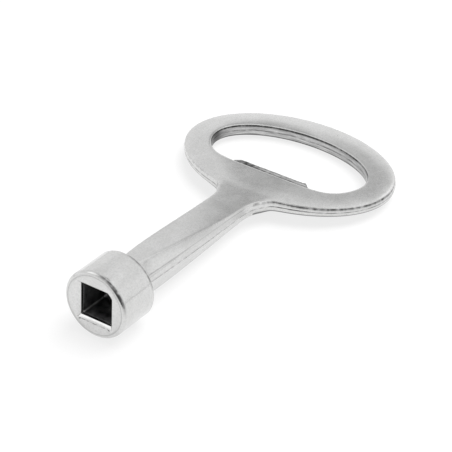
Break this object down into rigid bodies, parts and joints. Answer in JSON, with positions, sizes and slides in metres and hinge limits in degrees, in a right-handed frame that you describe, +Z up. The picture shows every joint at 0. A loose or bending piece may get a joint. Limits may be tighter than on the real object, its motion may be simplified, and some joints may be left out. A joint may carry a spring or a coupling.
{
  "type": "radiator bleed key",
  "caption": "Plated radiator bleed key with a flat oval bow, a tapering shank and a round head with a square socket.",
  "frame": {"origin": "bottom centre of the key's bounding box, on the surface the key lies on", "axes": "+X from the socket towards the bow, +Y across the key, +Z up; the key leans 4.4 degrees, with the head's lower rear edge and the bow's far edge on z = 0"},
  "size_m": [0.0623, 0.0352, 0.0109],
  "materials": {
    "plated_handle": "satin bright plating on die-cast zinc",
    "plated_head": "bright plating on die-cast zinc",
    "dark_liner": "blackened hardened steel"
  },
  "bodies": {
    "root": {"handle_casting": "plated_handle", "socket_head": "plated_head", "socket_liner": "dark_liner"}
  },
  "joints": []
}
